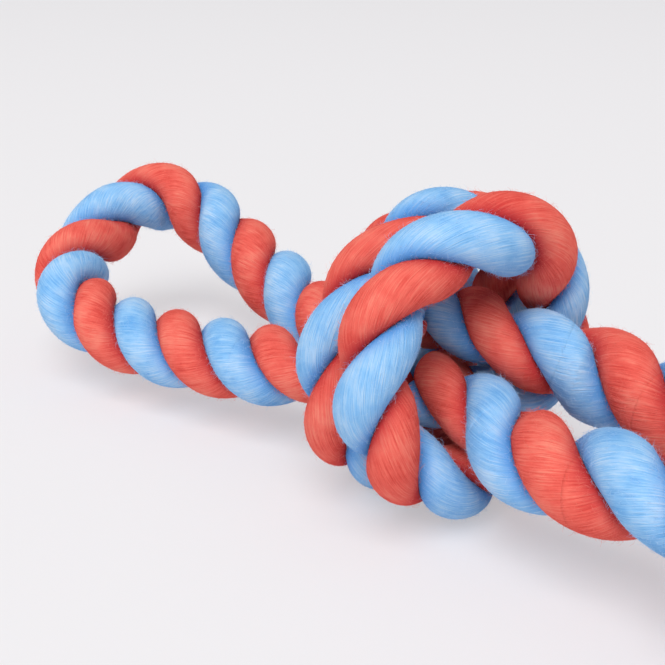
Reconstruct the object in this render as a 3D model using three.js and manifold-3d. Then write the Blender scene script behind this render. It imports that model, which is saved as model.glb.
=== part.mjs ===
// Rope dog toy: a ring of thick two-strand cotton rope, pinched at its middle and bound there by a
// ball of two more turns of the same rope, which leaves a hand loop on either side.
// Millimetres, +Z up, X along the toy, origin on the resting surface under the toy's middle.
import * as THREE from 'three';
import { mergeVertices } from 'three/addons/utils/BufferGeometryUtils.js';
import Module from 'manifold-3d';

const wasm = await Module();
wasm.setup();

// Driving dimensions
const ropeDiameter = 20; // over both strands
const ringPitch = 35.2; // full rope's length in which the strands turn once round each other
const ballPitch = 37.4; // the same for the ball rope, were it not pulled tight
const helixShare = 0.235; // from the rope's middle to a strand's middle, in rope diameters
const strandShare = 0.265; // radius of a strand, in rope diameters
const strandSpread = 1.12; // how much wider than deep a strand is, squeezed by the other one
const strandGap = 0.4; // daylight between the two strands
const buttGap = 0.4; // daylight where one stretch of a strand follows another
const restDepth = 2; // how deep the rope is pressed flat where it rests
const ballX = -0.144 * ropeDiameter; // the ball lies off the middle, as the right loop is longer
const ballY = 0.0455 * ropeDiameter;
const neckStart = 1.3 * ropeDiameter; // along X from the ball's centre to where the legs flex
const neckEnd = 2.4 * ropeDiameter; // and to where the loop proper begins

// Fineness of the strands
const stepsPerLay = 11;
const strandSides = 10;
const routeSamples = 3000;

// Routes are in rope diameters from the ball's centre. Fullness is the rope's share of its full
// diameter: the turns of the ball are pulled tight, and what they hold inside is crushed.
const slack = 1.08;
const loose = 1.03;
const tight = 0.88;
const crushed = 0.82;
const tucked = 0.44;

// Twist is how much harder than the rest a stretch is laid; it is 1 where none is given
const firm = 1.08;
const hard = 1.17;

// Ring rope: x, y, z, fullness, twist. It runs from inside the ball out along the near right leg,
// round the right loop, back through the ball, round the left loop and into the ball again.
const ringStations = [
  [0.04, -0.30, -0.38, 0.86],
  [0.60, -0.31, -0.37, crushed],
  [1.10, -0.42, -0.40, 0.90],
  [1.60, -0.61, -0.50, 1.04],
  [2.20, -0.66, -0.48, slack],
  [3.00, -0.63, -0.34, slack],
  [3.60, -0.67, -0.28, slack],
  [4.30, -0.93, -0.46, slack, firm],
  [4.93, -1.28, -0.85, slack, firm],
  [5.47, -1.36, -1.13, slack, firm],
  [6.02, -1.27, -1.27, slack, firm],
  [6.42, -0.94, -1.30, slack, firm],
  [6.67, -0.49, -1.30, slack, firm],
  [6.74, 0.00, -1.30, slack, firm],
  [6.67, 0.49, -1.30, slack, firm],
  [6.42, 0.94, -1.29, slack, firm],
  [6.02, 1.27, -1.25, slack, firm],
  [5.47, 1.36, -1.13, slack, firm],
  [4.93, 1.28, -0.92, slack, firm],
  [4.30, 0.92, -0.57, slack, firm],
  [3.60, 0.66, -0.26, slack],
  [3.00, 0.61, -0.13, slack],
  [2.20, 0.65, -0.06, slack],
  [1.60, 0.60, 0.02, slack],
  [1.10, 0.41, 0.15, 0.94, firm],
  [0.60, 0.31, 0.22, crushed, firm],
  [0.00, 0.32, 0.27, 0.86, firm],
  [-0.60, 0.31, 0.16, crushed, firm],
  [-1.10, 0.38, 0.00, 0.84],
  [-1.60, 0.48, -0.36, 0.92],
  [-2.20, 0.63, -0.62, loose],
  [-2.90, 0.80, -0.66, loose],
  [-3.60, 0.98, -0.53, loose, 0.95],
  [-4.30, 1.13, -0.39, loose, 0.9],
  [-4.87, 1.22, -0.22, loose, 0.92],
  [-5.34, 1.24, -0.02, loose, 1.05],
  [-5.79, 1.17, 0.19, loose, 1.05],
  [-6.14, 0.98, 0.29, loose, 0.97],
  [-6.38, 0.69, 0.26, loose, 0.82],
  [-6.49, 0.33, 0.12, loose, 0.8],
  [-6.42, -0.06, -0.07, loose, 0.88],
  [-6.22, -0.54, -0.24, loose],
  [-5.92, -0.96, -0.38, loose, firm],
  [-5.50, -1.26, -0.54, loose, hard],
  [-4.95, -1.25, -0.72, loose, hard],
  [-4.30, -1.12, -0.82, loose, hard],
  [-3.60, -0.96, -0.83, loose, hard],
  [-2.90, -0.80, -0.79, loose, hard],
  [-2.20, -0.64, -0.72, loose, hard],
  [-1.60, -0.49, -0.60, 0.93, hard],
  [-1.10, -0.37, -0.46, 0.84],
  [-0.60, -0.38, -0.48, crushed],
  [-0.04, -0.31, -0.38, 0.86],
];

// Ball rope: angle about X from the back (90 is the top, 180 the front), radius, x, fullness, twist.
// One end is tucked under the turns low at the back, the other high at the front.
const turn = 1.39;
const ballStations = [
  [309, 0.64, -0.30, tucked],
  [309, 0.64, 0.10, tucked],
  [309, 0.64, 0.42, tucked],
  [311, 0.71, 0.64, 0.44],
  [317, 0.82, 0.77, 0.46],
  [328, 0.97, 0.86, 0.52],
  [343, 1.10, 0.88, 0.60],
  [363, 1.20, 0.82, 0.70],
  [390, 1.25, 0.74, 0.80],
  [420, 1.40, 0.76, 0.88, 0.85],
  [450, 1.51, 0.72, 0.90, 0.85],
  [472, 1.55, 0.52, 0.86, 0.95],
  [495, 1.57, 0.32, 0.82],
  [540, 1.55, 0.38, 0.86, 0.97],
  [585, 1.42, 0.60, 0.84, 0.9],
  [630, 1.28, 0.80, 0.80, 0.85],
  [675, 1.39, 0.33, 0.85, 1.1],
  [720, 1.41, -0.05, 0.86, 1.1],
  [765, 1.48, -0.18, 0.84, 1.05],
  [810, 1.39, -0.20, 0.80],
  [832, 1.26, -0.34, 0.78, 0.9],
  [855, 1.17, -0.49, 0.78, 0.85],
  [900, 1.22, -0.51, 0.82, 0.85],
  [945, 1.39, -0.42, 0.86, 0.85],
  [990, turn, -0.30, tight, 0.85],
  [1035, turn, -0.66, tight, 1.25],
  [1080, 1.35, -0.94, 0.86, 1.25],
  [1106, 1.25, -1.05, 0.82],
  [1132, 1.06, -1.15, 0.73],
  [1157, 0.88, -1.08, 0.65],
  [1180, 0.72, -0.94, 0.57],
  [1201, 0.60, -0.75, 0.48],
  [1211, 0.45, -0.45, tucked],
  [1213, 0.44, -0.10, tucked],
];

// Turn of the red strand about its rope where each route begins, in lays
const ringPhase = -0.12;
const ballPhase = -0.14;

const centreHeight = ropeDiameter * (turn + tight / 2) - restDepth;
const ballCentre = new THREE.Vector3(ballX, ballY, centreHeight);

const redCotton = { color: 0xd9473c, roughness: 0.95, metalness: 0 };
const blueCotton = { color: 0x6cb0ee, roughness: 0.95, metalness: 0 };
const colours = { red: redCotton, blue: blueCotton };
const lead = { red: 0, blue: Math.PI };

// A rope's middle line: points at even steps, with a frame carried along without twist
function followRoute(stations, pitch, phase) {
  const points = stations.map(([x, y, z]) => new THREE.Vector3(x, y, z));
  const curve = new THREE.CatmullRomCurve3(points, false, 'centripetal');
  curve.arcLengthDivisions = routeSamples;
  const place = [];
  const fullness = [];
  const twist = [];
  for (let i = 0; i <= routeSamples; i++) {
    const t = curve.getUtoTmapping(i / routeSamples);
    const along = t * (stations.length - 1);
    const k = Math.min(Math.floor(along), stations.length - 2);
    const [, , , fullnessHere, twistHere = 1] = stations[k];
    const [, , , fullnessNext, twistNext = 1] = stations[k + 1];
    fullness.push(THREE.MathUtils.lerp(fullnessHere, fullnessNext, along - k));
    twist.push(THREE.MathUtils.lerp(twistHere, twistNext, along - k));
    place.push(curve.getPoint(t).multiplyScalar(ropeDiameter).add(ballCentre));
  }
  const frames = [];
  let side = new THREE.Vector3(0, 0, 1);
  for (let i = 0; i <= routeSamples; i++) {
    const before = place[Math.max(i - 1, 0)];
    const after = place[Math.min(i + 1, routeSamples)];
    const tangent = after.clone().sub(before).normalize();
    side = side.clone().addScaledVector(tangent, -side.dot(tangent)).normalize();
    frames.push({ side, up: tangent.clone().cross(side) });
  }
  const step = place[1].distanceTo(place[0]);
  const lay = [phase];
  for (let i = 1; i <= routeSamples; i++) {
    lay.push(lay[i - 1] + (twist[i] * step) / (pitch * Math.sqrt(fullness[i])));
  }
  return { place, frames, fullness, lay, pitch, step, length: step * routeSamples };
}

// Half of the rope's section: a round strand wound about the rope, as a plane across the rope cuts
// it, kept on its own side of the plane between the two strands
function strandSection(pitch, fullness) {
  const helix = ropeDiameter * helixShare;
  const radius = ropeDiameter * strandShare;
  const slope = Math.atan((2 * Math.PI * helix) / pitch);
  const section = [];
  for (let k = 0; k < strandSides; k++) {
    const angle = (2 * Math.PI * k) / strandSides;
    const radial = helix + radius * Math.cos(angle);
    const across = radius * strandSpread * Math.sin(angle);
    const level = across * Math.cos(slope);
    const ahead = (2 * Math.PI * across * Math.sin(slope)) / pitch;
    const bearing = Math.atan2(level, radial) + ahead;
    const reach = Math.hypot(radial, level);
    const out = Math.max(fullness * reach * Math.cos(bearing), strandGap / 2);
    section.push([out, fullness * reach * Math.sin(bearing)]);
  }
  return section;
}

// One strand of a stretch of rope, from one distance along the route to another
function strand(rope, from, to, colour) {
  const rings = Math.max(Math.round(((to - from) / rope.pitch) * stepsPerLay), 3);
  const positions = [];
  for (let r = 0; r <= rings; r++) {
    const distance = from + ((to - from) * r) / rings;
    const i = Math.min(Math.round(distance / rope.step), routeSamples);
    const { side, up } = rope.frames[i];
    const bearing = 2 * Math.PI * rope.lay[i] + lead[colour];
    const c = Math.cos(bearing);
    const s = Math.sin(bearing);
    for (const [u, v] of strandSection(rope.pitch, rope.fullness[i])) {
      const point = rope.place[i].clone();
      point.addScaledVector(side, u * c - v * s).addScaledVector(up, u * s + v * c);
      positions.push(point.x, point.y, point.z);
    }
  }
  const n = strandSides;
  const index = [];
  for (let r = 0; r < rings; r++) {
    for (let k = 0; k < n; k++) {
      const a = r * n + k;
      const b = r * n + ((k + 1) % n);
      const facesOtherStrand = Math.cos((2 * Math.PI * (k + 0.5)) / n) < -0.5;
      if (facesOtherStrand) {
        index.push(a, b, b + n, a, b + n, a + n);
      } else {
        index.push(a, b, a + n, b, b + n, a + n);
      }
    }
  }
  for (let k = 1; k < n - 1; k++) {
    const last = rings * n;
    index.push(0, k + 1, k, last, last + k, last + k + 1);
  }
  const geometry = new THREE.BufferGeometry();
  geometry.setAttribute('position', new THREE.Float32BufferAttribute(positions, 3));
  geometry.setIndex(index);
  return geometry;
}

function solidOf(geometry) {
  const bare = geometry.clone();
  bare.deleteAttribute('normal');
  bare.deleteAttribute('uv');
  const merged = mergeVertices(bare, 1e-4);
  return new wasm.Manifold(new wasm.Mesh({
    numProp: 3,
    vertProperties: new Float32Array(merged.attributes.position.array),
    triVerts: new Uint32Array(merged.index.array),
  }));
}

// Presses a strand flat on the resting surface, where it reaches below it
function restOnSurface(geometry) {
  const room = 40 * ropeDiameter;
  const below = new THREE.BoxGeometry(room, room, room).translate(0, 0, -room / 2);
  const mesh = solidOf(geometry).subtract(solidOf(below)).getMesh();
  const flat = new THREE.BufferGeometry();
  flat.setAttribute('position', new THREE.Float32BufferAttribute(mesh.vertProperties, 3));
  flat.setIndex(new THREE.Uint32BufferAttribute(mesh.triVerts, 1));
  return flat;
}

const toy = new THREE.Group();

function addStrand(name, colour, geometry) {
  geometry.computeVertexNormals();
  const mesh = new THREE.Mesh(geometry, new THREE.MeshStandardMaterial(colours[colour]));
  mesh.name = `${name}_${colour}`;
  toy.add(mesh);
  return mesh;
}

// Distances along the ring rope at which it passes a given X, in order
function crossings(rope, x) {
  const found = [];
  for (let i = 1; i <= routeSamples; i++) {
    if ((rope.place[i - 1].x - x) * (rope.place[i].x - x) <= 0) {
      found.push(i * rope.step);
    }
  }
  return found;
}

const ring = followRoute(ringStations, ringPitch, ringPhase);
const [rightNearIn, rightFarIn] = crossings(ring, ballX + neckStart);
const [rightNearOut, rightFarOut] = crossings(ring, ballX + neckEnd);
const [leftFarIn, leftNearIn] = crossings(ring, ballX - neckStart);
const [leftFarOut, leftNearOut] = crossings(ring, ballX - neckEnd);

const ringStretches = [
  ['core_near_right', 0, rightNearIn],
  ['right_neck_near', rightNearIn, rightNearOut],
  ['right_loop', rightNearOut, rightFarOut],
  ['right_neck_far', rightFarOut, rightFarIn],
  ['core_far', rightFarIn, leftFarIn],
  ['left_neck_far', leftFarIn, leftFarOut],
  ['left_loop', leftFarOut, leftNearOut],
  ['left_neck_near', leftNearOut, leftNearIn],
  ['core_near_left', leftNearIn, ring.length],
];
for (const [name, from, to] of ringStretches) {
  for (const colour of ['red', 'blue']) {
    const geometry = strand(ring, from + buttGap / 2, to - buttGap / 2, colour);
    addStrand(name, colour, name === 'right_loop' ? restOnSurface(geometry) : geometry);
  }
}

const ballRoute = ballStations.map(([angle, radius, x, fullness, twist]) => {
  const about = THREE.MathUtils.degToRad(angle);
  return [x, radius * Math.cos(about), radius * Math.sin(about), fullness, twist];
});
const ball = followRoute(ballRoute, ballPitch, ballPhase);
for (const colour of ['red', 'blue']) {
  const geometry = strand(ball, 0, ball.length, colour);
  addStrand('ball_rope', colour, restOnSurface(geometry));
}

// Least gap between turns of the ball rope, measured between points of its middle line that are
// more than two rope diameters apart along it
let leastGap = Infinity;
const stride = 6;
const apart = Math.ceil((2 * ropeDiameter) / ball.step);
for (let i = 0; i <= routeSamples; i += stride) {
  for (let k = i + apart; k <= routeSamples; k += stride) {
    const radii = (ropeDiameter * (ball.fullness[i] + ball.fullness[k])) / 2;
    leastGap = Math.min(leastGap, ball.place[i].distanceTo(ball.place[k]) - radii);
  }
}
console.log(`ball rope: length ${ball.length.toFixed(1)} mm, least gap to itself ${leastGap.toFixed(2)} mm`);
console.log(`ring rope: length ${ring.length.toFixed(1)} mm`);

export default toy;
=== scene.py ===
import bpy
import math
import numpy as np
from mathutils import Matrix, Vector


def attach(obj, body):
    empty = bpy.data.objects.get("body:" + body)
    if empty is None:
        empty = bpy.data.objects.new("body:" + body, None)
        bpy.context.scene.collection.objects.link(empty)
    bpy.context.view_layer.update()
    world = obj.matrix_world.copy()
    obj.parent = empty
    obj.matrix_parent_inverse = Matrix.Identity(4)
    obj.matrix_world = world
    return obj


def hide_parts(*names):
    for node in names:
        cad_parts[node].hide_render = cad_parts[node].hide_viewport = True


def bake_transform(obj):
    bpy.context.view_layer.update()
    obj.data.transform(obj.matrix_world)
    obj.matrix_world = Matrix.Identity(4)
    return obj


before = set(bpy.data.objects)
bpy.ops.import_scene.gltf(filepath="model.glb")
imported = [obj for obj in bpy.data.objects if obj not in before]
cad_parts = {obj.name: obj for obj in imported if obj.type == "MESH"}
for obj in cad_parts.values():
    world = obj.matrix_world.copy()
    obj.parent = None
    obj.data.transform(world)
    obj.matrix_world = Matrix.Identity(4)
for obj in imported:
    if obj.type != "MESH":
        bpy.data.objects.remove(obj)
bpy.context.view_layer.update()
scene = bpy.context.scene
scene.view_settings.view_transform = "Standard"
print("frame loaded:", len(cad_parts), "nodes")

# camera at the photo's angle: a little above the toy, on its right
cameraSet = {
    "location": (0.14110, -0.18338, 0.13872),
    "tilt": 66.633,
    "turn": 43.957,
    "lens": 60.96,
    "sensor": 36,
    "clipStart": 0.01,
}
bpy.ops.object.camera_add(
    location=cameraSet["location"],
    rotation=(math.radians(cameraSet["tilt"]), 0, math.radians(cameraSet["turn"])),
)
photoCamera = bpy.context.object
photoCamera.name = "photoCamera"
photoCamera.data.lens = cameraSet["lens"]
photoCamera.data.sensor_width = cameraSet["sensor"]
photoCamera.data.clip_start = cameraSet["clipStart"]
scene.camera = photoCamera
print("camera placed")

# the rope itself, in metres
rope = {
    "diameter": 0.020,
    "helixShare": 0.235,  # rope's middle to strand's middle, in rope diameters
    "strandShare": 0.266,  # strand radius, in rope diameters
    "strandSpread": 1.12,  # how much wider than deep a strand is
    "strandGap": 0.00006,
    "ballCentre": (-0.00288, 0.00091, 0.0346),
    "neckStart": 0.026,  # where the legs begin to flex, from the ball's centre
    "neckEnd": 0.048,
    "buttEnd": 0.0002,  # how far the ring rope stops short of each end of its route
    "spanSamples": 120,  # fineness of a route between two stations
    "routeStep": 0.0002,  # even spacing of the finished route
    "ringStep": 0.0009,  # mesh ring spacing along the rope
    "fewestRings": 4,
    "sides": 56,
    "neckTuck": 0.0008,  # how far a neck slips inside the stretches beside it
    "brimSwell": 0.9996,  # a neck's share of its thickness just past the cut
    "tipSwell": 0.96,  # and at its hidden end
    "plumpness": 0.012,  # how much a strand's thickness wanders
    "wanderLengths": (0.021, 0.034, 0.055, 0.013),
    "blueShift": 500,  # millimetres between the two strands' fibre patterns
    "seed": 11,
}

# ring rope: x, y, z, fullness and twist, in rope diameters from the ball's centre
ringRope = {
    "pitch": 0.0352,
    "phase": -0.12,
    "fibreTurn": -11,  # degrees from the rope to its fibres, with the lay
    "stations": [
        (0.04, -0.30, -0.38, 0.86, 1), (0.60, -0.31, -0.37, 0.82, 1),
        (1.10, -0.42, -0.40, 0.90, 1), (1.60, -0.61, -0.50, 1.04, 1),
        (2.20, -0.66, -0.48, 1.08, 1), (3.00, -0.63, -0.34, 1.08, 1),
        (3.60, -0.67, -0.28, 1.08, 1), (4.30, -0.93, -0.46, 1.08, 1.08),
        (4.93, -1.28, -0.85, 1.08, 1.08), (5.47, -1.36, -1.13, 1.08, 1.08),
        (6.02, -1.27, -1.27, 1.08, 1.08), (6.42, -0.94, -1.30, 1.08, 1.08),
        (6.67, -0.49, -1.30, 1.08, 1.08), (6.74, 0.00, -1.30, 1.08, 1.08),
        (6.67, 0.49, -1.30, 1.08, 1.08), (6.42, 0.94, -1.29, 1.08, 1.08),
        (6.02, 1.27, -1.25, 1.08, 1.08), (5.47, 1.36, -1.13, 1.08, 1.08),
        (4.93, 1.28, -0.92, 1.08, 1.08), (4.30, 0.92, -0.57, 1.08, 1.08),
        (3.60, 0.66, -0.26, 1.08, 1), (3.00, 0.61, -0.13, 1.08, 1),
        (2.20, 0.65, -0.06, 1.08, 1), (1.60, 0.60, 0.02, 1.08, 1),
        (1.10, 0.41, 0.15, 0.94, 1.08), (0.60, 0.31, 0.22, 0.82, 1.08),
        (0.00, 0.32, 0.27, 0.86, 1.08), (-0.60, 0.31, 0.16, 0.82, 1.08),
        (-1.10, 0.38, 0.00, 0.84, 1), (-1.60, 0.48, -0.36, 0.92, 1),
        (-2.20, 0.63, -0.62, 1.03, 1), (-2.90, 0.80, -0.66, 1.03, 1),
        (-3.60, 0.98, -0.53, 1.03, 0.95), (-4.30, 1.13, -0.39, 1.03, 0.9),
        (-4.87, 1.22, -0.22, 1.03, 0.92), (-5.34, 1.24, -0.02, 1.03, 1.05),
        (-5.79, 1.17, 0.19, 1.03, 1.05), (-6.14, 0.98, 0.29, 1.03, 0.97),
        (-6.38, 0.69, 0.26, 1.03, 0.82), (-6.49, 0.33, 0.12, 1.03, 0.8),
        (-6.42, -0.06, -0.07, 1.03, 0.88), (-6.22, -0.54, -0.24, 1.03, 1),
        (-5.92, -0.96, -0.38, 1.03, 1.08), (-5.50, -1.26, -0.54, 1.03, 1.17),
        (-4.95, -1.25, -0.72, 1.03, 1.17), (-4.30, -1.12, -0.82, 1.03, 1.17),
        (-3.60, -0.96, -0.83, 1.03, 1.17), (-2.90, -0.80, -0.79, 1.03, 1.17),
        (-2.20, -0.64, -0.72, 1.03, 1.17), (-1.60, -0.49, -0.60, 0.93, 1.17),
        (-1.10, -0.37, -0.46, 0.84, 1), (-0.60, -0.38, -0.48, 0.82, 1),
        (-0.04, -0.31, -0.38, 0.86, 1),
    ],
}

# ball rope: angle about X from the back, radius, x, fullness and twist
ballRope = {
    "pitch": 0.0374,
    "phase": -0.14,
    "fibreTurn": 4,
    "stations": [
        (309, 0.64, -0.30, 0.44, 1), (309, 0.64, 0.10, 0.44, 1),
        (309, 0.64, 0.42, 0.44, 1), (311, 0.71, 0.64, 0.44, 1),
        (317, 0.82, 0.77, 0.46, 1), (328, 0.97, 0.86, 0.52, 1),
        (343, 1.10, 0.88, 0.60, 1), (363, 1.20, 0.82, 0.70, 1),
        (390, 1.25, 0.74, 0.80, 1), (420, 1.40, 0.76, 0.88, 0.85),
        (450, 1.51, 0.72, 0.90, 0.85), (472, 1.55, 0.52, 0.86, 0.95),
        (495, 1.57, 0.32, 0.82, 1), (540, 1.55, 0.38, 0.86, 0.97),
        (585, 1.42, 0.60, 0.84, 0.9), (630, 1.28, 0.80, 0.80, 0.85),
        (675, 1.39, 0.33, 0.85, 1.1), (720, 1.41, -0.05, 0.86, 1.1),
        (765, 1.48, -0.18, 0.84, 1.05), (810, 1.39, -0.20, 0.80, 1),
        (832, 1.26, -0.34, 0.78, 0.9), (855, 1.17, -0.49, 0.78, 0.85),
        (900, 1.22, -0.51, 0.82, 0.85), (945, 1.39, -0.42, 0.86, 0.85),
        (990, 1.39, -0.30, 0.88, 0.85), (1035, 1.39, -0.66, 0.88, 1.25),
        (1080, 1.35, -0.94, 0.86, 1.25), (1106, 1.25, -1.05, 0.82, 1),
        (1132, 1.06, -1.15, 0.73, 1), (1157, 0.88, -1.08, 0.65, 1),
        (1180, 0.72, -0.94, 0.57, 1), (1201, 0.60, -0.75, 0.48, 1),
        (1211, 0.45, -0.45, 0.44, 1), (1213, 0.44, -0.10, 0.44, 1),
    ],
}


def bentBetween(p0, p1, p2, p3, w):  # one span of a centripetal spline
    d0 = max(np.linalg.norm(p0 - p1) ** 0.5, 1e-4)
    d1 = max(np.linalg.norm(p1 - p2) ** 0.5, 1e-4)
    d2 = max(np.linalg.norm(p2 - p3) ** 0.5, 1e-4)
    t1 = ((p1 - p0) / d0 - (p2 - p0) / (d0 + d1) + (p2 - p1) / d1) * d1
    t2 = ((p2 - p1) / d1 - (p3 - p1) / (d1 + d2) + (p3 - p2) / d2) * d1
    w = w[:, None]
    bow = (-3 * p1 + 3 * p2 - 2 * t1 - t2) * w ** 2
    return p1 + t1 * w + bow + (2 * p1 - 2 * p2 + t1 + t2) * w ** 3


def followRoute(settings, stations):
    points = np.array([s[:3] for s in stations])
    traits = np.array([s[3:] for s in stations])
    ends = np.vstack([2 * points[0] - points[1], points, 2 * points[-1] - points[-2]])
    w = np.linspace(0, 1, rope["spanSamples"], endpoint=False)
    spans = []
    shares = []
    for k in range(len(points) - 1):
        spans.append(bentBetween(ends[k], ends[k + 1], ends[k + 2], ends[k + 3], w))
        shares.append(traits[k] + (traits[k + 1] - traits[k]) * w[:, None])
    line = np.vstack(spans + [points[-1:]]) * rope["diameter"] + np.array(rope["ballCentre"])
    shares = np.vstack(shares + [traits[-1:]])
    gone = np.concatenate([[0], np.cumsum(np.linalg.norm(np.diff(line, axis=0), axis=1))])
    count = int(round(gone[-1] / rope["routeStep"]))
    along = np.linspace(0, gone[-1], count + 1)
    place = np.stack([np.interp(along, gone, line[:, k]) for k in range(3)], axis=1)
    fullness = np.interp(along, gone, shares[:, 0])
    twist = np.interp(along, gone, shares[:, 1])
    tangent = np.gradient(place, axis=0)
    tangent /= np.linalg.norm(tangent, axis=1)[:, None]
    side = np.zeros_like(place)
    carried = np.array([0.0, 0.0, 1.0])
    for k in range(count + 1):  # a frame carried along without twist
        carried = carried - tangent[k] * carried.dot(tangent[k])
        carried /= np.linalg.norm(carried)
        side[k] = carried
    step = gone[-1] / count
    lay = settings["phase"] + np.cumsum(twist * step / (settings["pitch"] * np.sqrt(fullness)))
    return {
        "along": along, "place": place, "side": side, "up": np.cross(tangent, side),
        "fullness": fullness, "lay": lay, "length": gone[-1], "pitch": settings["pitch"],
        "fibreTurn": math.radians(settings["fibreTurn"]),
    }


ring = followRoute(ringRope, ringRope["stations"])
ballPoints = []
for angle, radius, x, fullness, twist in ballRope["stations"]:
    turned = math.radians(angle)
    across, rise = radius * math.cos(turned), radius * math.sin(turned)
    ballPoints.append((x, across, rise, fullness, twist))
ball = followRoute(ballRope, ballPoints)
print("routes: ring %.0f mm, ball %.0f mm" % (ring["length"] * 1000, ball["length"] * 1000))


def crossings(route, x):  # distances along the ring rope where it passes x
    offset = route["place"][:, 0] - x
    hits = np.where(offset[:-1] * offset[1:] <= 0)[0]
    return [route["along"][k] for k in hits]


def strandPoints(route, distances, colour, swell):
    n = rope["sides"]
    k = np.clip(np.round(distances / route["along"][1]).astype(int), 0, len(route["along"]) - 1)
    around = 2 * np.pi * np.arange(n) / n + np.pi  # seam on the side that faces the other strand
    dice = np.random.default_rng(rope["seed"] + (colour == "blue"))
    lengths = np.array(rope["wanderLengths"])[:, None]
    waves = dice.uniform(0, 2 * np.pi, lengths.shape)
    wander = np.sin(distances[None] * 2 * np.pi / lengths + waves).mean(axis=0)
    helix = rope["diameter"] * rope["helixShare"]
    radius = rope["diameter"] * rope["strandShare"]
    radius = radius * swell * (1 + rope["plumpness"] * wander[:, None])
    slope = math.atan(2 * math.pi * helix / route["pitch"])
    radial = helix + radius * np.cos(around)
    across = radius * rope["strandSpread"] * np.sin(around)
    level = across * math.cos(slope)
    ahead = 2 * np.pi * across * math.sin(slope) / route["pitch"]
    bearing = np.arctan2(level, radial) + ahead
    full = route["fullness"][k][:, None]
    reach = full * np.hypot(radial, level)
    out = np.maximum(reach * np.cos(bearing), rope["strandGap"] / 2)
    sideways = reach * np.sin(bearing)
    turned = 2 * np.pi * route["lay"][k] + (0 if colour == "red" else np.pi)
    c, s = np.cos(turned)[:, None], np.sin(turned)[:, None]
    points = (route["place"][k][:, None]
              + route["side"][k][:, None] * (out * c - sideways * s)[..., None]
              + route["up"][k][:, None] * (out * s + sideways * c)[..., None])
    middles = route["place"][k] + (route["side"][k] * c + route["up"][k] * s) * helix * full
    facing = np.arctan2(level, radial)
    facing[:, 0] = -np.pi
    facing = np.hstack([facing + ahead, facing[:, :1] + 2 * np.pi])  # one more, for the seam
    girth = (facing + turned[:, None]) * rope["diameter"] / 2
    run = distances[:, None] + 0 * girth
    c, s = math.cos(route["fibreTurn"]), math.sin(route["fibreTurn"])
    fibres = np.stack([girth * c - run * s, run * c + girth * s], axis=-1) * 1000
    crown = np.hypot(radial, level) / (helix + radius)  # 1 where the strand stands out most
    return points, middles, fibres, crown


def strandMesh(name, route, start, stop, colour, tuck):
    count = max(int(round((stop - start) / rope["ringStep"])), rope["fewestRings"])
    distances = np.linspace(start, stop, count + 1)
    swell = np.ones((count + 1, 1))
    if tuck:  # ends slip just inside the next stretch
        brim = tuck / 5
        before, after = [start - tuck, start - brim], [stop + brim, stop + tuck]
        distances = np.concatenate([before, distances, after])
        ease = np.array([[rope["tipSwell"]], [rope["brimSwell"]]])
        swell = np.concatenate([ease, swell, ease[::-1]])
    points, middles, fibres, crown = strandPoints(route, distances, colour, swell)
    points[..., 2] = np.maximum(points[..., 2], 0)  # pressed flat where it rests
    rings, n = points.shape[:2]
    r = np.repeat(np.arange(rings - 1), n)
    k = np.tile(np.arange(n), rings - 1)
    a, b = r * n + k, r * n + (k + 1) % n
    faces = np.stack([a, b, b + n, a + n], axis=1).tolist()
    faces.append(list(range(n - 1, -1, -1)))
    faces.append(list(range((rings - 1) * n, rings * n)))
    mesh = bpy.data.meshes.new(name)
    mesh.from_pydata(points.reshape(-1, 3).tolist(), [], faces)
    fibreMap = mesh.uv_layers.new(name="fibres")
    corners = [fibres[r, k], fibres[r, k + 1], fibres[r + 1, k + 1], fibres[r + 1, k]]
    flat = np.concatenate([np.stack(corners, axis=1).reshape(-1, 2), np.zeros((2 * n, 2))])
    flat += 0 if colour == "red" else rope["blueShift"]
    fibreMap.data.foreach_set("uv", flat.astype(np.float32).ravel())
    crownMap = mesh.attributes.new("crown", "FLOAT", "POINT")
    crownMap.data.foreach_set("value", crown.astype(np.float32).ravel())
    mesh.polygons.foreach_set("use_smooth", [True] * len(r) + [False, False])
    mesh.update()
    piece = bpy.data.objects.new(name, mesh)
    scene.collection.objects.link(piece)
    return piece, points, middles


# cotton: the fibres run along the second UV, the tone wanders a little, and painted shade darkens the
# creases between strands
redCotton = {
    "slot": "red_cotton",
    "base": (0.89, 0.148, 0.114),
    "deep": (0.72, 0.077, 0.061),
    # painted shade, a darker and more saturated red for the creases between strands
    "paintedCreaseShade": (0.59, 0.035, 0.039),
    "pale": (0.94, 0.26, 0.19),
    "fuzz": (0.91, 0.24, 0.185),
}
blueCotton = {
    "slot": "blue_cotton",
    "base": (0.29, 0.575, 0.92),
    "deep": (0.15, 0.42, 0.82),
    # painted shade, a darker and more saturated blue for the creases between strands
    "paintedCreaseShade": (0.084, 0.32, 0.80),
    "pale": (0.50, 0.715, 0.955),
    "fuzz": (0.47, 0.69, 0.955),
}
cottonLook = {
    "roughness": 0.92,
    "specular": 0.06,
    "sheen": 0.12,
    "sheenRoughness": 0.4,
    "finePerMm": (3.4, 0.15),  # across and along the fibres
    "broadPerMm": (0.9, 0.05),
    "mottlePerMetre": 130,
    "fineDetail": 3.0,
    "broadDetail": 2.0,
    "mottleDetail": 4.0,
    "streakRoughness": 0.6,
    "broadShare": 0.22,  # of broad streaks in the height
    "mottleShare": 0.4,  # of mottle in the tone
    "deepStop": 0.38,
    "baseStop": 0.5,
    "paleStop": 0.62,
    "bumpStrength": 0.7,
    "bumpDepth": 0.0005,
    "crownFrom": 0.55,  # painted shade: deeper, more saturated colour in the creases, full tone on the crowns
    "crownTo": 0.95,
}


def addNode(tree, kind, **inputs):
    node = tree.nodes.new(kind)
    for key, value in inputs.items():
        node.inputs[key].default_value = value
    return node


def smoothStep(tree, source, start, stop, least):  # from least up to 1
    limits = {"From Min": start, "From Max": stop, "To Min": least}
    step = addNode(tree, "ShaderNodeMapRange", **limits)
    step.interpolation_type = "SMOOTHSTEP"
    tree.links.new(source, step.inputs["Value"])
    return step.outputs["Result"]


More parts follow.
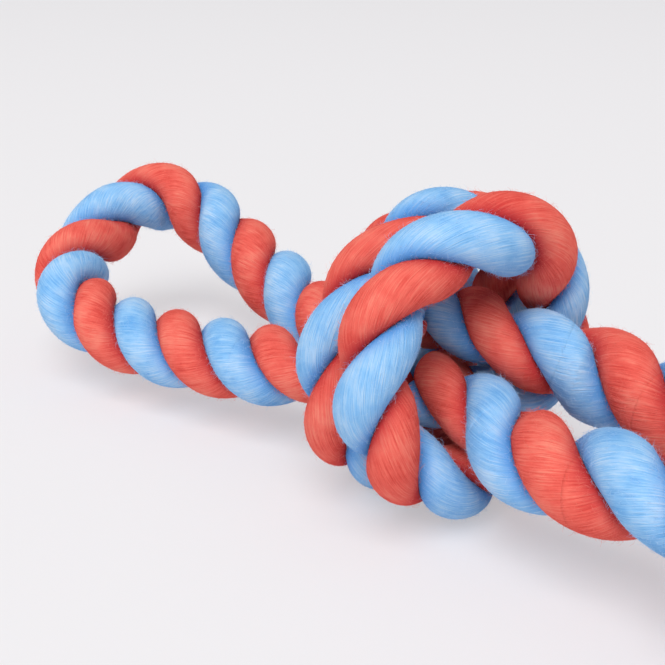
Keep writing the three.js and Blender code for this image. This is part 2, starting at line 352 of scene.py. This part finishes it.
def softShader(material, colour):
    material.use_nodes = True
    shader = material.node_tree.nodes["Principled BSDF"]
    shader.inputs["Roughness"].default_value = cottonLook["roughness"]
    shader.inputs["Specular IOR Level"].default_value = cottonLook["specular"]
    shader.inputs["Sheen Weight"].default_value = cottonLook["sheen"]
    shader.inputs["Sheen Roughness"].default_value = cottonLook["sheenRoughness"]
    shader.inputs["Sheen Tint"].default_value = (*colour, 1)
    return shader


def cottonMaterial(name, colours):
    material = bpy.data.materials.new(name)
    shader = softShader(material, colours["fuzz"])
    tree = material.node_tree
    fibreMap = tree.nodes.new("ShaderNodeUVMap")
    fibreMap.uv_map = "fibres"
    place = tree.nodes.new("ShaderNodeTexCoord")

    def streaks(perMm, detail):
        scaled = addNode(tree, "ShaderNodeMapping", Scale=(perMm[0], perMm[1], 1))
        noise = addNode(tree, "ShaderNodeTexNoise", Scale=1.0, Detail=detail)
        noise.inputs["Roughness"].default_value = cottonLook["streakRoughness"]
        tree.links.new(fibreMap.outputs["UV"], scaled.inputs["Vector"])
        tree.links.new(scaled.outputs["Vector"], noise.inputs["Vector"])
        return noise.outputs["Fac"]

    def blendOf(first, second, share):
        mix = tree.nodes.new("ShaderNodeMix")
        mix.inputs["Factor"].default_value = share
        tree.links.new(first, mix.inputs["A"])
        tree.links.new(second, mix.inputs["B"])
        return mix.outputs["Result"]

    fine = streaks(cottonLook["finePerMm"], cottonLook["fineDetail"])
    broad = streaks(cottonLook["broadPerMm"], cottonLook["broadDetail"])
    mottle = addNode(tree, "ShaderNodeTexNoise", Scale=cottonLook["mottlePerMetre"],
                     Detail=cottonLook["mottleDetail"])
    tree.links.new(place.outputs["Object"], mottle.inputs["Vector"])
    height = blendOf(fine, broad, cottonLook["broadShare"])
    tone = blendOf(height, mottle.outputs["Fac"], cottonLook["mottleShare"])
    ramp = tree.nodes.new("ShaderNodeValToRGB")
    ramp.color_ramp.elements[0].position = cottonLook["deepStop"]
    ramp.color_ramp.elements[0].color = (*colours["deep"], 1)
    ramp.color_ramp.elements[1].position = cottonLook["paleStop"]
    ramp.color_ramp.elements[1].color = (*colours["pale"], 1)
    middle = ramp.color_ramp.elements.new(cottonLook["baseStop"])
    middle.color = (*colours["base"], 1)
    tree.links.new(tone, ramp.inputs["Fac"])
    # painted shade: where a strand sinks into the crease beside the other strand, its colour is
    # pulled towards the darker crease colour
    crown = tree.nodes.new("ShaderNodeAttribute")
    crown.attribute_name = "crown"
    stands = smoothStep(tree, crown.outputs["Fac"], cottonLook["crownFrom"], cottonLook["crownTo"], 0)
    paintedShadeMix = tree.nodes.new("ShaderNodeMix")
    paintedShadeMix.data_type = "RGBA"
    paintedShadeMix.inputs["A"].default_value = (*colours["paintedCreaseShade"], 1)
    tree.links.new(stands, paintedShadeMix.inputs["Factor"])
    tree.links.new(ramp.outputs["Color"], paintedShadeMix.inputs["B"])
    tree.links.new(paintedShadeMix.outputs["Result"], shader.inputs["Base Color"])
    bump = addNode(tree, "ShaderNodeBump", Strength=cottonLook["bumpStrength"],
                   Distance=cottonLook["bumpDepth"])
    tree.links.new(height, bump.inputs["Height"])
    tree.links.new(bump.outputs["Normal"], shader.inputs["Normal"])
    return material


def fuzzMaterial(name, colours):
    material = bpy.data.materials.new(name)
    shader = softShader(material, colours["fuzz"])
    shader.inputs["Base Color"].default_value = (*colours["fuzz"], 1)
    return material


colourSets = {"red": redCotton, "blue": blueCotton}
cotton = {key: cottonMaterial(key + "Cotton", value) for key, value in colourSets.items()}
fluff = {key: fuzzMaterial(key + "Fuzz", value) for key, value in colourSets.items()}
print("cotton materials made")

# fuzz: short loose hairs that stand off the strands
fuzz = {
    "perSquareMm": 0.8,
    "shortest": 0.0005,
    "longest": 0.0021,
    "shortBias": 2.5,  # the higher, the fewer long hairs
    "thickness": 0.000022,
    "taper": (1.0, 0.8, 0.35),  # at the root, half way and at the tip
    "reach": (0.2, 0.8),  # share of the way round a strand, not where it faces the other one
    "rise": (0.2, 0.9),
    "rootDepth": 0.0001,
    "halfShare": 0.55,  # length up to half way, and how far it leans over
    "halfLean": 0.7,
    "tipShare": 0.5,
    "tipLean": 0.9,
    "tipDroop": 0.5,
    "clearance": 0.0002,  # above the floor
    "seed": 7,
}


def fuzzMesh(name, points, colour, seed):
    dice = np.random.default_rng(fuzz["seed"] + seed)
    rings, n = points.shape[:2]
    spanAlong = np.linalg.norm(points[1:] - points[:-1], axis=2).mean()
    spanAround = np.linalg.norm(np.roll(points, -1, 1) - points, axis=2).mean()
    count = int(rings * n * spanAlong * spanAround * 1e6 * fuzz["perSquareMm"])
    r = dice.integers(1, rings - 2, count)
    k = dice.integers(int(n * fuzz["reach"][0]), int(n * fuzz["reach"][1]), count)
    root = points[r, k]
    alongStrand = points[r + 1, k] - root
    aroundStrand = points[r, (k + 1) % n] - root
    outward = np.cross(aroundStrand, alongStrand)
    outward /= np.linalg.norm(outward, axis=1)[:, None] + 1e-12
    lie = dice.normal(size=(count, 3))
    lie -= outward * (lie * outward).sum(1)[:, None]
    lie /= np.linalg.norm(lie, axis=1)[:, None] + 1e-12
    spread = fuzz["longest"] - fuzz["shortest"]
    length = (fuzz["shortest"] + spread * dice.random(count) ** fuzz["shortBias"])[:, None]
    rise = dice.uniform(*fuzz["rise"], (count, 1))
    root = root - outward * fuzz["rootDepth"] + aroundStrand * dice.random((count, 1))
    half = root + length * fuzz["halfShare"] * (outward * rise + lie * fuzz["halfLean"])
    droop = rise - fuzz["tipDroop"]
    tip = half + length * fuzz["tipShare"] * (outward * droop + lie * fuzz["tipLean"])
    across = np.cross(outward, lie)
    corners = []
    for centre, share in zip((root, half, tip), fuzz["taper"]):
        for third in range(3):
            angle = 2 * math.pi * third / 3
            swing = across * math.cos(angle) + outward * math.sin(angle)
            corners.append(centre + fuzz["thickness"] * share * swing)
    verts = np.stack(corners, axis=1)
    verts = verts[verts[:, :, 2].min(axis=1) > fuzz["clearance"]]
    pattern = []
    for level in (0, 3):
        for third in range(3):
            a, b = level + third, level + (third + 1) % 3
            pattern.append((a, b, b + 3, a + 3))
    base = np.arange(len(verts))[:, None, None] * 9
    faces = (base + np.array(pattern)[None]).reshape(-1, 4)
    mesh = bpy.data.meshes.new(name)
    mesh.from_pydata(verts.reshape(-1, 3).tolist(), [], faces.tolist())
    piece = bpy.data.objects.new(name, mesh)
    scene.collection.objects.link(piece)
    piece.data.materials.append(fluff[colour])
    return piece


# where each stretch of the ring rope begins and ends
ballX = rope["ballCentre"][0]
innerRight = crossings(ring, ballX + rope["neckStart"])
outerRight = crossings(ring, ballX + rope["neckEnd"])
innerLeft = crossings(ring, ballX - rope["neckStart"])
outerLeft = crossings(ring, ballX - rope["neckEnd"])
stretches = [
    ("core_near_right", ring, rope["buttEnd"], innerRight[0]),
    ("right_neck_near", ring, innerRight[0], outerRight[0]),
    ("right_loop", ring, outerRight[0], outerRight[1]),
    ("right_neck_far", ring, outerRight[1], innerRight[1]),
    ("core_far", ring, innerRight[1], innerLeft[0]),
    ("left_neck_far", ring, innerLeft[0], outerLeft[0]),
    ("left_loop", ring, outerLeft[0], outerLeft[1]),
    ("left_neck_near", ring, outerLeft[1], innerLeft[1]),
    ("core_near_left", ring, innerLeft[1], ring["length"] - rope["buttEnd"]),
    ("ball_rope", ball, 0.0, ball["length"]),
]


def carry(piece, name):  # necks and loops are baked in place, the rest rides on the knot
    if "neck" in name:
        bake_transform(piece)
    elif "loop" in name:
        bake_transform(piece)
    else:
        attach(piece, "knot")


for order, (name, route, start, stop) in enumerate(stretches):
    tuck = rope["neckTuck"] if "neck" in name else 0
    for colour in ("red", "blue"):
        node = name + "_" + colour
        piece, points, middles = strandMesh(node + "_strand", route, start, stop, colour, tuck)
        piece.data.materials.append(cotton[colour])
        hairs = fuzzMesh(node + "_fuzz", points, colour, order * 2 + (colour == "blue"))
        carry(piece, name)
        carry(hairs, name)
        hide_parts(node)
    print("stretch done:", name)

# pale floor and soft light
studio = {
    "floorSize": 12,
    "floorDrop": 0.0003,  # below the surface that the toy rests on
    "floorRoughness": 0.8,
    "floorSpecular": 0.1,
    "floorColour": (0.89, 0.88, 0.895),
    "floorGlow": (0.87, 0.855, 0.875),
    "glowShare": 0.5,  # how far the seen floor's shadows are lifted
    "fadeFrom": 1.5,  # metres from the toy, where the floor begins to melt into the backdrop
    "fadeTo": 5.0,
    "worldColour": (1.0, 0.995, 1.0),
    "worldStrength": 0.42,
    "keyPower": 100.0,
    "keySize": 2.4,
    "keyPlace": (0.9, -1.7, 3.0),
    "keyAim": (0, 0, 0.02),
}


def seenRays(tree):  # 1 for what the camera sees, straight or by reflection
    rays = tree.nodes.new("ShaderNodeLightPath")
    seen = rays.outputs["Is Camera Ray"]
    for other in ("Is Glossy Ray", "Is Transmission Ray"):
        either = tree.nodes.new("ShaderNodeMath")
        either.operation = "MAXIMUM"
        tree.links.new(seen, either.inputs[0])
        tree.links.new(rays.outputs[other], either.inputs[1])
        seen = either.outputs["Value"]
    return seen


def mixShaders(tree, share, first, second, output):
    mix = tree.nodes.new("ShaderNodeMixShader")
    tree.links.new(share, mix.inputs["Fac"])
    tree.links.new(first, mix.inputs[1])
    tree.links.new(second, mix.inputs[2])
    tree.links.new(mix.outputs["Shader"], tree.nodes[output].inputs["Surface"])


bpy.ops.mesh.primitive_plane_add(size=studio["floorSize"], location=(0, 0, -studio["floorDrop"]))
floor = bpy.context.object
floor.name = "floor"
floorMaterial = bpy.data.materials.new("paleFloor")
floorMaterial.use_nodes = True
floorTree = floorMaterial.node_tree
floorShader = floorTree.nodes["Principled BSDF"]
floorShader.inputs["Base Color"].default_value = (*studio["floorColour"], 1)
floorShader.inputs["Roughness"].default_value = studio["floorRoughness"]
floorShader.inputs["Specular IOR Level"].default_value = studio["floorSpecular"]
floorGlow = addNode(floorTree, "ShaderNodeEmission", Color=(*studio["floorGlow"], 1), Strength=1.0)
floorPlace = floorTree.nodes.new("ShaderNodeTexCoord")
away = floorTree.nodes.new("ShaderNodeVectorMath")
away.operation = "LENGTH"
floorTree.links.new(floorPlace.outputs["Object"], away.inputs[0])
fade = smoothStep(floorTree, away.outputs["Value"], studio["fadeFrom"], studio["fadeTo"],
                  studio["glowShare"])
share = floorTree.nodes.new("ShaderNodeMath")
share.operation = "MULTIPLY"
floorTree.links.new(seenRays(floorTree), share.inputs[0])
floorTree.links.new(fade, share.inputs[1])
mixShaders(floorTree, share.outputs["Value"], floorShader.outputs["BSDF"],
           floorGlow.outputs["Emission"], "Material Output")
floor.data.materials.append(floorMaterial)
bpy.ops.object.light_add(type="AREA", location=studio["keyPlace"])
keyLight = bpy.context.object
keyLight.name = "keyLight"
keyLight.data.size = studio["keySize"]
keyLight.data.energy = studio["keyPower"]
aim = Vector(studio["keyAim"]) - Vector(studio["keyPlace"])
keyLight.rotation_euler = aim.to_track_quat("-Z", "Y").to_euler()
world = bpy.data.worlds.new("studioWorld")
scene.world = world
world.use_nodes = True
worldTree = world.node_tree
sky = worldTree.nodes["Background"]
sky.inputs["Color"].default_value = (*studio["worldColour"], 1)
sky.inputs["Strength"].default_value = studio["worldStrength"]
backdrop = addNode(worldTree, "ShaderNodeBackground", Color=(*studio["floorGlow"], 1), Strength=1.0)
mixShaders(worldTree, seenRays(worldTree), sky.outputs["Background"],
           backdrop.outputs["Background"], "World Output")
print("floor and lights placed")
